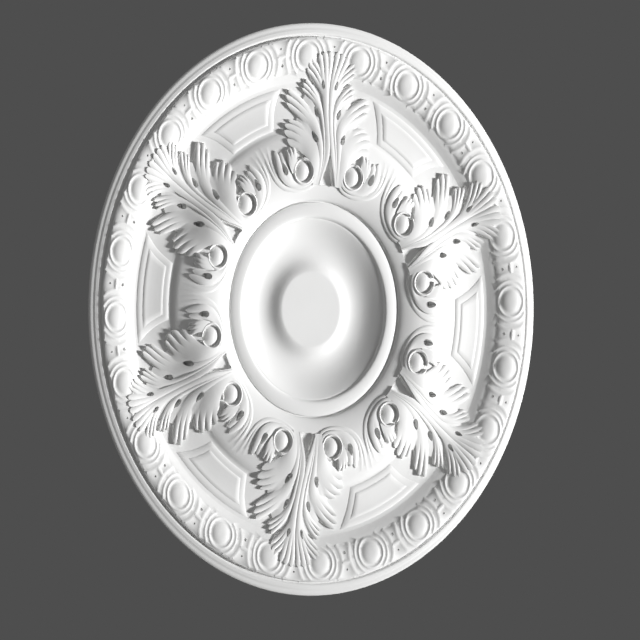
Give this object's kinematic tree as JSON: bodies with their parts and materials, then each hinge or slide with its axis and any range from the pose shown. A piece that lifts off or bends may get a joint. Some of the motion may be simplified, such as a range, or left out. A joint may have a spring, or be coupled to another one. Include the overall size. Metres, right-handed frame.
{
  "type": "ceiling rose",
  "caption": "Round white ceiling rose with a plain centre medallion, acanthus leaves rising from scrolls, raised panels and an egg-and-dart border; its flat back fixes to a ceiling.",
  "frame": {"origin": "centre of the flat back, where the rose meets the ceiling", "axes": "+Y straight out of the back, into the ceiling; the carved face looks along -Y; +Z along the axis of one leaf, up as in the picture"},
  "size_m": [0.7, 0.0237, 0.7],
  "materials": {
    "white_primer": "white primed casting, matte"
  },
  "bodies": {
    "root": {"ceiling_rose": "white_primer"}
  },
  "joints": []
}
